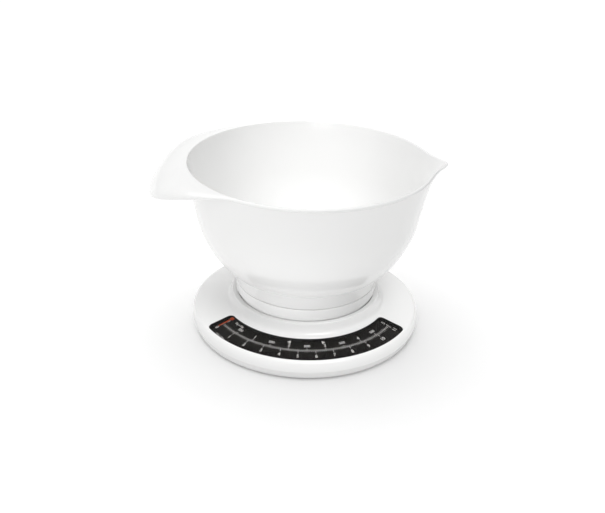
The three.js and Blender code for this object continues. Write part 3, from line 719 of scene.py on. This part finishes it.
def slot_walls(azimuths, outside, inside):
    """The slot's own four walls, which join the two skins."""
    across = [a for a in azimuths if abs(a - 180) <= SLOT_HALF + HAIR]
    out_z = [p for p in outside if SLOT_LOW - HAIR <= p[1] <= SLOT_HIGH + HAIR]
    in_z = [p for p in inside if SLOT_LOW - HAIR <= p[1] <= SLOT_HIGH + HAIR][::-1]
    walls = []
    for end in (0, -1):
        points = [from_front(a, *p[end]) for a in across for p in (out_z, in_z)]
        faces = [(2 * i, 2 * i + 1, 2 * i + 3, 2 * i + 2) for i in range(len(across) - 1)]
        walls.append((points, faces))
    for a in (across[0], across[-1]):
        points = [from_front(a, *p) for p in out_z + in_z[::-1]]
        walls.append((points, [tuple(range(len(points)))]))
    return walls


def boss(radius, low, high, x, y):
    """A screw boss under the skin, with its hole."""
    hole = 1.6
    profile = [(hole, low), (radius, low), (radius, high), (hole, high), (hole, low)]
    return moved(lathe(profile, 32), x, y)


def build_casing():
    outline, steps = opening()
    arcs, corner_steps, side_steps = steps
    run = 2 * corner_steps + side_steps
    loop = frame_loop(*steps, CONE_IN, CONE_OUT, FRAME_HALF, outline)
    slot_start, slot_end = 180 - SLOT_HALF, 180 + SLOT_HALF
    around = spread(FRAME_HALF, slot_start, 58)
    around += spread(slot_start, slot_end, 8)[1:]
    around += spread(slot_end, 360 - FRAME_HALF, 58)[1:]
    outer_ring = sorted(a for a, r in loop if r == CONE_OUT) + around[1:-1]
    inner_ring = sorted(a for a, r in loop if r == CONE_IN) + around[1:-1]
    side_radii = [r for a, r in loop[arcs : arcs + run + 1] if a == FRAME_HALF]
    outside, inside = casing_outside(), casing_inside()
    shapes = [
        opening_surround(outline, loop),
        band(outside, outer_ring, slotted=True),
        band(inside, outer_ring, slotted=True),
        band(casing_neck(), inner_ring),
    ]
    for drop in (0, SKIN):
        points, faces = band([(r, cone_z(r) - drop) for r in side_radii], around)
        shapes.append((points, [face for face in faces if face[1] > face[0]]))
    shapes += slot_walls(around, outside, inside)
    for x, y in [(-81, 6), (81, 6), (-44, 69), (44, 69)]:
        shapes.append(boss(3.6, 5.7, 19, x, y))
    for x, y in [(-64.5, -14), (64.5, -14), (-43, 50), (43, 50)]:
        shapes.append(boss(3.4, 14.8, 22, x, y))
    return merge(*shapes)


casing = mesh_from("base_casing", *build_casing(), "base", WHITE, ["base_shell"], 50)


# ------------------------------------------------------------------ dial

DIAL_DEPTH = 2.8  # from the casing's cone down to the dial's face


def cone_slab(outline, steps, top, bottom, rounding):
    """A plate whose outline is given in plan, its faces parallel to the casing's cone.
    Its faces are rings that close up onto an arc along the middle of the sector."""
    arcs, corner_steps, side_steps = steps
    run = 2 * corner_steps + side_steps
    bend, tip = DIAL_HALF - 3.5, DIAL_HALF - 2.5
    ends = [bend + (tip - bend) * (1 - abs(2 * k / run - 1)) for k in range(run)]
    azimuths = spread(-bend, bend, arcs)[:-1] + ends
    azimuths += spread(bend, -bend, arcs)[:-1] + [-a for a in ends]
    spine = [Vector(polar((DIAL_IN + DIAL_OUT) / 2, 0, a - 90)).xy for a in azimuths]

    def ring(share, depth):
        plan = [middle.lerp(p, share) for p, middle in zip(outline, spine)]
        return [(q.x, q.y, cone_z(q.length) - depth) for q in plan]

    shares = (0, 0.25, 0.5, 0.75, 0.985)
    rings = [ring(share, top) for share in shares] + [ring(1, top + rounding), ring(1, bottom - rounding)]
    rings += [ring(share, bottom) for share in reversed(shares)]
    return rings_joined(rings)


WINDOW_GAP, WINDOW_TOP, WINDOW_UNDER = 0.3, 0.05, 1.25
glass = cone_slab(*opening(WINDOW_GAP), WINDOW_TOP, WINDOW_UNDER, 0.12)
mesh_from("window_glass", *glass, "base", CLEAR, ["dial_window"], 50)


def build_seal():
    """A thin black gasket that fills the gap round the window down to the dial."""
    outer, _ = opening(0.02)
    inner, _ = opening(WINDOW_GAP - 0.03)
    foot = DIAL_DEPTH - 0.1
    rings = []
    for outline, depth in ((outer, foot), (outer, 0.25), (inner, 0.2), (inner, foot)):
        rings.append([(p.x, p.y, cone_z(p.length) - depth) for p in outline])
    return rings_joined(rings, closed=True)


seal = mesh_from("window_seal", *build_seal(), "base", SEAL, (), 50)


def build_dial_plate():
    inner, outer, top, under = 69.6, 96.4, DIAL_DEPTH, DIAL_DEPTH + 1.2
    corners = [(inner, top), (outer, top), (outer, under), (inner, under), (inner, top)]
    azimuths = spread(-63.8, 63.8, 120)
    points, faces = band([(r, cone_z(r) - depth) for r, depth in corners], azimuths)
    faces = [face for face in faces if face[1] > face[0]]
    last = (len(azimuths) - 1) * len(corners)
    return points, faces + [(0, 1, 2, 3), (last + 3, last + 2, last + 1, last)]


dial = mesh_from("dial_face", *build_dial_plate(), "base", BLACK, ["dial_plate"], 40)

FULL = 5.0  # kilograms at the dial's end
POUND = 0.45359
SWEEP = 58.2  # degrees either side of the front
CURVE = 0.62  # how much the scale opens out towards its ends
BAND_R, KG_R, LB_R = 82.4, 77.3, 88.3  # radii of the line between the scales and of their numbers
INK_LIFT = 0.05
FINE, BROAD = 0.3, 0.5  # widths of the ticks
SHORT, MIDDLE = 1.35, 1.8  # and their lengths, but for those at a number


def dial_azimuth(kilos):
    share = (kilos - FULL / 2) / (FULL / 2)
    return SWEEP * math.asin(CURVE * share) / math.asin(CURVE)


def on_dial(r, azimuth, along=0.0, across=0.0, lift=0.0):
    """A point of the print: along the dial and towards its inner edge from (r, azimuth)."""
    radius = r - across * math.cos(math.atan(SLOPE))
    a = math.radians(azimuth) + along / r
    return (radius * math.sin(a), -radius * math.cos(a), cone_z(radius) - DIAL_DEPTH + lift)


def prism(count):
    """Faces of a closed prism whose points are a top outline and then the bottom one."""
    sides = [(i, (i + 1) % count, (i + 1) % count + count, i + count) for i in range(count)]
    return sides + [tuple(range(count)), tuple(range(count, 2 * count))]


def stroke(r0, r1, azimuth, width):
    """A radial tick from r0 to r1 as a thin raised bar."""
    h = width / 2
    corners = [(r0, -h), (r0, h), (r1, h), (r1, -h)]
    points = [on_dial(r, azimuth, along, 0, lift) for lift in (INK_LIFT, 0) for r, along in corners]
    return points, prism(4)


def band_line(width, steps=160):
    """The thin line between the two scales."""
    inner, outer = BAND_R - width / 2, BAND_R + width / 2
    corners = [(inner, 0), (inner, INK_LIFT), (outer, INK_LIFT), (outer, 0)]
    points = [on_dial(r, a, 0, 0, lift) for a in spread(-SWEEP, SWEEP, steps) for r, lift in corners]
    faces = []
    for i in range(steps):
        a, b = 4 * i, 4 * i + 4
        faces += [(a + k, b + k, b + (k + 1) % 4, a + (k + 1) % 4) for k in range(4)]
    last = 4 * steps
    return points, faces + [(0, 1, 2, 3), (last, last + 1, last + 2, last + 3)]


def lettering(text, r, azimuth, height, squeeze=1.0):
    """Text in Blender's own plain font, wrapped onto the dial with its feet outwards."""
    curve = bpy.data.curves.new("numbers", "FONT")
    curve.body = text
    curve.size = 1.0
    curve.align_x = "CENTER"
    curve.resolution_u = 5
    curve.offset = 0.012
    curve.extrude = 0.5
    obj = bpy.data.objects.new("numbers", curve)
    bpy.context.scene.collection.objects.link(obj)
    mesh = applied(obj)
    xs = [v.co.x for v in mesh.vertices]
    ys = [v.co.y for v in mesh.vertices]
    size = height / 0.72  # a number is 0.72 of its font size high
    middle_x, middle_y = (min(xs) + max(xs)) / 2, (min(ys) + max(ys)) / 2
    points = []
    for v in mesh.vertices:
        along, across = (v.co.x - middle_x) * size * squeeze, (v.co.y - middle_y) * size
        points.append(on_dial(r, azimuth, along, across, (v.co.z + curve.extrude) * INK_LIFT))
    faces = [tuple(p.vertices) for p in mesh.polygons]
    bpy.data.objects.remove(obj)
    bpy.data.curves.remove(curve)
    bpy.data.meshes.remove(mesh)
    return points, faces


def triangle(r, azimuth, direction):
    corners = [(1.6 * direction, 0), (-1.3 * direction, 1.7), (-1.3 * direction, -1.7)]
    points = [on_dial(r, azimuth, x, y, lift) for lift in (INK_LIFT, 0) for x, y in corners]
    return points, prism(3)


def tick(i, per_number, longest, kilos, side):
    """Tick number i of a scale, on the line's inner side (-1) or its outer one (1)."""
    length, width = SHORT, FINE
    if i % (per_number // 2) == 0:
        length = MIDDLE
    if i % per_number == 0:
        length, width = longest, BROAD
    return stroke(BAND_R, BAND_R + side * length, dial_azimuth(kilos), width)


def build_print():
    shapes = [band_line(0.12)]
    shapes += [tick(i, 10, 2.3, i * 0.05, -1) for i in range(101)]
    shapes += [tick(i, 8, 2.6, min(i / 8 * POUND, FULL), 1) for i in range(89)]
    for kg in range(6):
        shapes.append(lettering(str(kg), KG_R, dial_azimuth(kg), 3.3))
        if kg < 5:
            shapes.append(lettering("500", KG_R, dial_azimuth(kg + 0.5), 2.5))
    for lb in range(12):
        shapes.append(lettering(str(lb), LB_R, dial_azimuth(min(lb * POUND, FULL)), 3.3))
    shapes.append(lettering("5kg x 50g", 74.1, -49.4, 2.0, 0.95))
    shapes.append(lettering("11lb x 2oz", 92.9, -50.8, 2.0, 0.95))
    shapes.append(triangle(73.9, -11.3, -1))
    shapes.append(triangle(73.9, 10.5, 1))
    return merge(*shapes)


scale_print = mesh_from("dial_print", *build_print(), "base", INK, (), 40)


# ------------------------------------------------------------------ pointer

KNEE = 69.0  # the arm is level up to this radius and follows the cone beyond it
POINTER_DEPTH = 1.9
POINTER_TIP = 87.0
# half the pointer's width at distances from its axis: tail, hub, arm, flag and needle
STATIONS = [
    (-19.6, 1.2),
    (-19, 2.4),
    (-17, 2.9),
    (-5, 2.9),
    (0, 4.6),
    (5, 2.4),
    (10, 1.5),
    (40, 1.1),
    (64, 0.9),
    (68.6, 0.9),
    (71.4, 1.0),
    (71.8, 1.9),
    (74.8, 1.9),
    (75.2, 0.7),
    (80, 0.6),
    (86, 0.5),
    (POINTER_TIP, 0.25),
]


def arm_top(r):
    return cone_z(max(r, KNEE)) - POINTER_DEPTH


def build_pointer():
    """The pointer along -Y: a flat arm, a broad flag at the dial's inner edge and a thin needle."""
    thick, edge = 0.48, 0.12
    rows = []
    for y, half in STATIONS:
        top = arm_top(y)
        low = top - thick
        side = [(half - edge, top - 0.02), (half, top - edge), (half, low + 0.08), (half - 0.1, low)]
        mirrored = [(-x, z) for x, z in reversed(side)]
        section = mirrored[1:] + [(0, top)] + side + mirrored[:2]
        rows.append([(x, -y, z) for x, z in section])
    points, faces = sweep(rows)
    faces = [face for face in faces if face[1] > face[0]]
    width = len(rows[0])
    last = (len(rows) - 1) * width
    caps = [tuple(range(width - 1)), tuple(last + k for k in reversed(range(width - 1)))]
    level = arm_top(0)
    hub = fillet([
        (1.8, level - 0.5, 0),
        (4.9, level - 0.5, 0.15),
        (4.9, level + 0.9, 0.4),
        (2.2, level + 0.9, 0.2),
        (1.8, level + 0.7, 0),
        (1.8, level - 0.5, 0),
    ])
    return merge((points, faces + caps), lathe(hub, 48))


mesh_from("pointer_needle", *build_pointer(), "pointer", ORANGE, ["pointer"], 40, turn=-SWEEP)


# ------------------------------------------------------------------ wheel and feet


WHEEL_R, WHEEL_Y, FLUTES = 11.5, 90, 30
WHEEL_LOW, WHEEL_HIGH = 4.6, 9.6


def build_wheel():
    """The fluted wheel with its stem."""
    rows = []
    for i in range(FLUTES * 8):
        a = 360 * i / (FLUTES * 8)
        r = WHEEL_R - 0.7 * (0.5 - 0.5 * math.cos(math.radians(a * FLUTES))) ** 1.5
        corners = [
            (0, 8.0, 0),
            (1.8, 8.0, 0.1),
            (1.8, WHEEL_LOW, 0.15),
            (r, WHEEL_LOW, 0.7),
            (r, WHEEL_HIGH, 0.7),
            (2.4, WHEEL_HIGH, 0.2),
            (2.4, 10.0, 0),
            (2, 10.2, 0),
            (2, 15.7, 0.2),
            (1.6, 16.1, 0),
            (0, 16.1, 0),
        ]
        rows.append([polar(radius, z, a) for radius, z in fillet(corners, 4)])
    return moved(sweep(rows), 0, WHEEL_Y)


mesh_from("zero_thumb_wheel", *build_wheel(), "zero_wheel", WHITE, ["zero_wheel"], 45)

# the pad, the stem through the bottom plate and the barb above it: radius, height, rounding
FOOT_PROFILE = [
    (0, 0.25, 0),
    (4.6, 0.25, 0.3),
    (5, 0, 0.2),
    (6.3, 0, 0.4),
    (7, 0.6, 0.4),
    (7, 1.3, 0.2),
    (2, 1.3, 0.2),
    (2, 3.7, 0.2),
    (3, 3.7, 0.3),
    (2, 5.9, 0.4),
    (0, 5.9, 0),
]

for side in SIDES:
    low, high = (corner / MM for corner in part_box(f"foot_{side}"))
    middle = (low + high) / 2 - AXIS
    foot = moved(lathe(fillet(FOOT_PROFILE), 56), middle.x, middle.y)
    mesh_from(f"rubber_foot_{side}", *foot, "base", RUBBER, [f"foot_{side}"], 50)


# ------------------------------------------------------------------ carried-over nodes

CARRIED = {
    "bottom_plate": WHITE,
    "platform_carrier": STEEL,
    "push_pin": STEEL,
    "chassis": STEEL,
    "crank": STEEL,
    "crank_bracket": STEEL,
    "crank_pin": STEEL,
    "zero_lever": STEEL,
    "zero_pivot_pin": STEEL,
    "weighing_spring_left": SPRING,
    "weighing_spring_right": SPRING,
    "pinion_spindle": BRASS,
    "rack": BRASS,
    "rack_guide": NYLON,
    "spindle_bush": NYLON,
}
for side in SIDES:
    CARRIED[f"guide_bush_{side}"] = NYLON
    for stem in ("platform_post", "carrier_screw", "chassis_screw"):
        CARRIED[f"{stem}_{side}"] = STEEL
for node, finish in CARRIED.items():
    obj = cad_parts[node]
    obj.data.materials.clear()
    obj.data.materials.append(finish)


# ------------------------------------------------------------------ stage, light and camera


def stage():
    f = Finish("studio_floor", (0.95, 0.95, 0.95), 0.6)
    f.tinted(f.noise(2, 2), (0.945, 0.945, 0.945), (0.955, 0.955, 0.955))
    f.set("Specular IOR Level", 0.2)
    f.set("Emission Color", (1, 1, 1, 1))
    f.set("Emission Strength", 0.06)
    half = 8.0
    mesh = bpy.data.meshes.new("floor")
    corners = [(-half, -half, 0), (half, -half, 0), (half, half, 0), (-half, half, 0)]
    mesh.from_pydata(corners, [], [(0, 1, 2, 3)])
    floor = bpy.data.objects.new("floor", mesh)
    bpy.context.scene.collection.objects.link(floor)
    floor.data.materials.append(f.material)
    return floor


def lamp(name, kind, position, target, energy):
    """A light at a position that points at its target."""
    light = bpy.data.lights.new(name, kind)
    light.energy = energy
    obj = bpy.data.objects.new(name, light)
    bpy.context.scene.collection.objects.link(obj)
    obj.location = position
    obj.rotation_euler = (Vector(target) - Vector(position)).to_track_quat("-Z", "Y").to_euler()
    return obj


def area(name, position, target, width, height, power):
    obj = lamp(name, "AREA", position, target, power)
    obj.data.shape = "RECTANGLE"
    obj.data.size = width
    obj.data.size_y = height
    return obj


def sun(name, position, strength, degrees):
    """A sun that shines from the side of its position."""
    obj = lamp(name, "SUN", position, (0, 0, 0), strength)
    obj.data.angle = math.radians(degrees)


def spot(name, position, target, degrees, power):
    obj = lamp(name, "SPOT", position, target, power)
    obj.data.spot_size = math.radians(degrees)
    obj.data.spot_blend = 1.0
    obj.data.shadow_soft_size = 0.05
    return obj


def studio_world():
    """An even surround, dimmer low on the right, that shows as a plain white backdrop."""
    world = bpy.data.worlds.new("studio")
    world.use_nodes = True
    tree = world.node_tree

    def ramp(value, start, end, low, high):
        node = tree.nodes.new("ShaderNodeMapRange")
        node.interpolation_type = "SMOOTHSTEP"
        for name, number in (("From Min", start), ("From Max", end)):
            node.inputs[name].default_value = number
        for name, given in (("To Min", low), ("To Max", high)):
            if isinstance(given, float):
                node.inputs[name].default_value = given
            else:
                tree.links.new(given, node.inputs[name])
        tree.links.new(value, node.inputs["Value"])
        return node.outputs["Result"]

    split = tree.nodes.new("ShaderNodeSeparateXYZ")
    tree.links.new(tree.nodes.new("ShaderNodeTexCoord").outputs["Generated"], split.inputs[0])
    dimmed = ramp(split.outputs["X"], -0.2, 0.6, 0.76, 0.05)
    lighting_strength = ramp(split.outputs["Z"], 0.1, 0.5, dimmed, 0.78)
    camera_ray = tree.nodes.new("ShaderNodeLightPath").outputs["Is Camera Ray"]
    background = tree.nodes["Background"]
    background.inputs["Color"].default_value = (1, 1, 1, 1)
    tree.links.new(ramp(camera_ray, 0.0, 1.0, lighting_strength, 1.05), background.inputs["Strength"])
    bpy.context.scene.world = world


def only_for(light, *receivers):
    """Light linking: the light reaches these objects and no others."""
    chosen = bpy.data.collections.new(light.name + "_receivers")
    for obj in receivers:
        chosen.objects.link(obj)
    light.light_linking.receiver_collection = chosen


def lighting(floor):
    studio_world()
    centre = Vector((AXIS.x * MM, 0, 0.1))
    sun("key", (-0.12, 0.25, 1.0), 1.05, 60)
    # the fills lift the scale but not the floor, which keeps the soft shadow in front of it
    others = [o for o in bpy.data.objects if o.type == "MESH" and o not in (floor, casing)]
    only_for(area("fill", (-0.6, -0.9, 1.0), centre, 0.8, 0.5, 0.8), *others)
    only_for(area("low_fill", (-0.3, -1.3, 0.06), centre, 0.5, 0.3, 1.7), bowl, platform)
    only_for(area("casing_fill", (0.3, -0.65, 1.1), centre, 0.6, 0.4, 6.0), casing, dial, scale_print)
    back_wall = centre + Vector((0, 0.08, 0.025))
    only_for(spot("inside_fill", (-0.08, -0.45, 0.75), back_wall, 17, 12.0), bowl)
    ring = Vector((centre.x, 0, 0.045))
    only_for(spot("foot_fill", (-0.15, -0.9, 0.05), ring, 9, 7.0), bowl, platform)


def camera():
    """The photograph's view, as fitted to the outlines of the base, the platform's ring and the rim."""
    pitch, yaw, roll = 0.480743, -0.0054607, 0.0276615
    data = bpy.data.cameras.new("camera")
    data.sensor_fit = "HORIZONTAL"
    data.sensor_width = 36.0
    data.lens = 48.163835
    data.clip_start, data.clip_end = 0.02, 50
    obj = bpy.data.objects.new("camera", data)
    bpy.context.scene.collection.objects.link(obj)
    ahead = Vector((math.sin(yaw) * math.cos(pitch), math.cos(yaw) * math.cos(pitch), -math.sin(pitch)))
    right = Vector((math.cos(yaw), -math.sin(yaw), 0))
    up = right.cross(ahead)
    right, up = (
        math.cos(roll) * right + math.sin(roll) * up,
        -math.sin(roll) * right + math.cos(roll) * up,
    )
    place_at = Matrix.Translation(Vector((0, -0.62546, 0.38587)))
    facing = Matrix((right, up, -ahead)).transposed().to_4x4()
    spin = Matrix.Rotation(math.radians(-2.0), 4, "Z")
    obj.matrix_world = Matrix.Translation(AXIS * MM) @ spin @ place_at @ facing
    bpy.context.scene.camera = obj


lighting(stage())
camera()
bpy.context.scene.view_settings.view_transform = "Standard"
bpy.context.scene.view_settings.look = "None"
